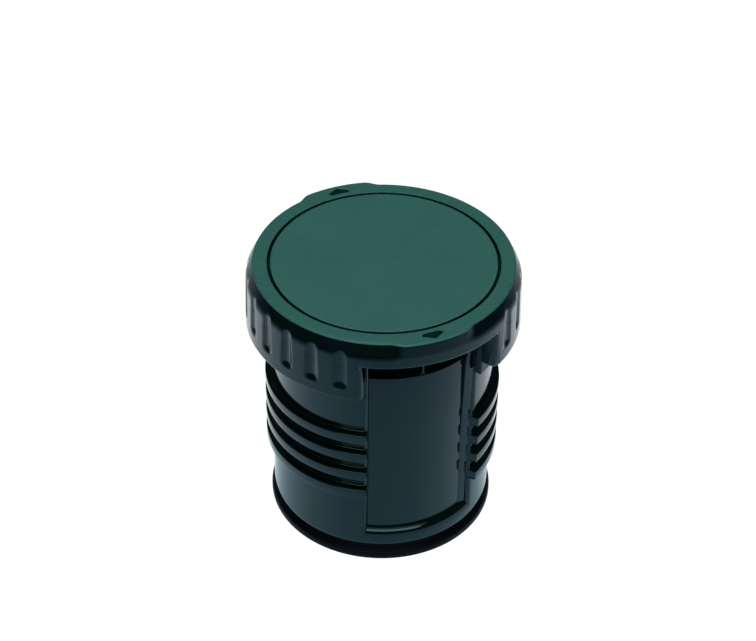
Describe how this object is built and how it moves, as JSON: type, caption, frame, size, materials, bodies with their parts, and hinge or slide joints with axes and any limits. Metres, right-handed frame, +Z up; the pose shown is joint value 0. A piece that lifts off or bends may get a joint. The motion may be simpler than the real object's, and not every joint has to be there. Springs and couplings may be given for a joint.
{
  "type": "vacuum flask stopper",
  "caption": "Screw-in pour-through stopper for a wide-mouth vacuum flask, with a fluted grip, a foam-filled can, pour channels in a threaded sleeve and a slip-on rubber seal.",
  "frame": {"origin": "centre of the seal's underside, on the stopper's axis", "axes": "+Z up along the axis to the top disc; the two pour openings and their arrow marks face -Y and +Y; the thread ribs are on -X and +X"},
  "size_m": [0.0604, 0.06, 0.0662],
  "materials": {
    "grip_green": "glossy moulded plastic with a satin top ring",
    "disc_green": "fine matt texture",
    "pad_white": "plain, hidden",
    "sleeve_green": "glossy moulded plastic",
    "can_green": "glossy moulded plastic",
    "foam": "rigid insulating foam, hidden",
    "plate_green": "glossy moulded plastic",
    "seal_black": "smooth soft rubber"
  },
  "bodies": {
    "stopper": {"grip_cap": "grip_green", "top_disc": "disc_green", "cap_pad": "pad_white", "thread_sleeve": "sleeve_green", "inner_can": "can_green", "foam_core": "foam", "bottom_plate": "plate_green"},
    "seal": {"base_seal": "seal_black"}
  },
  "joints": [
    {"name": "seal_pull", "type": "slide", "parent": "stopper", "child": "seal", "axis": [0, 0, -1], "range_m": [0, 0.006]}
  ]
}
